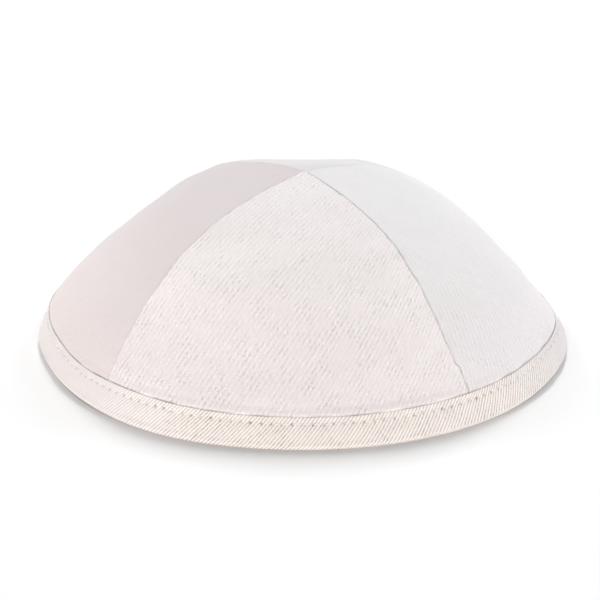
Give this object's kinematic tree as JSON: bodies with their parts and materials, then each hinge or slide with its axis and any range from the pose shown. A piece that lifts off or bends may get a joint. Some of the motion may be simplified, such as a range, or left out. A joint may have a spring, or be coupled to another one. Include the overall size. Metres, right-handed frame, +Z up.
{
  "type": "kippah skullcap",
  "caption": "Shallow brimless skullcap sewn from triangular gores that meet at the crown, with its open rim bound in folded bias tape. Worn on the crown of the head.",
  "frame": {"origin": "centre of the rim, on the plane that the rim rests on", "axes": "+Z up through the tip of the crown, -Y towards the front gore, +X to the viewer's right"},
  "size_m": [0.1792, 0.1728, 0.0613],
  "materials": {
    "crown_twill": "brushed cotton twill in ivory, slightly mottled, matt",
    "binding_twill": "fine cotton twill tape cut on the bias, warm cream, matt"
  },
  "bodies": {
    "root": {"crown_panel_front": "crown_twill", "crown_panel_right": "crown_twill", "crown_panel_back": "crown_twill", "crown_panel_left": "crown_twill", "rim_binding": "binding_twill"}
  },
  "joints": []
}
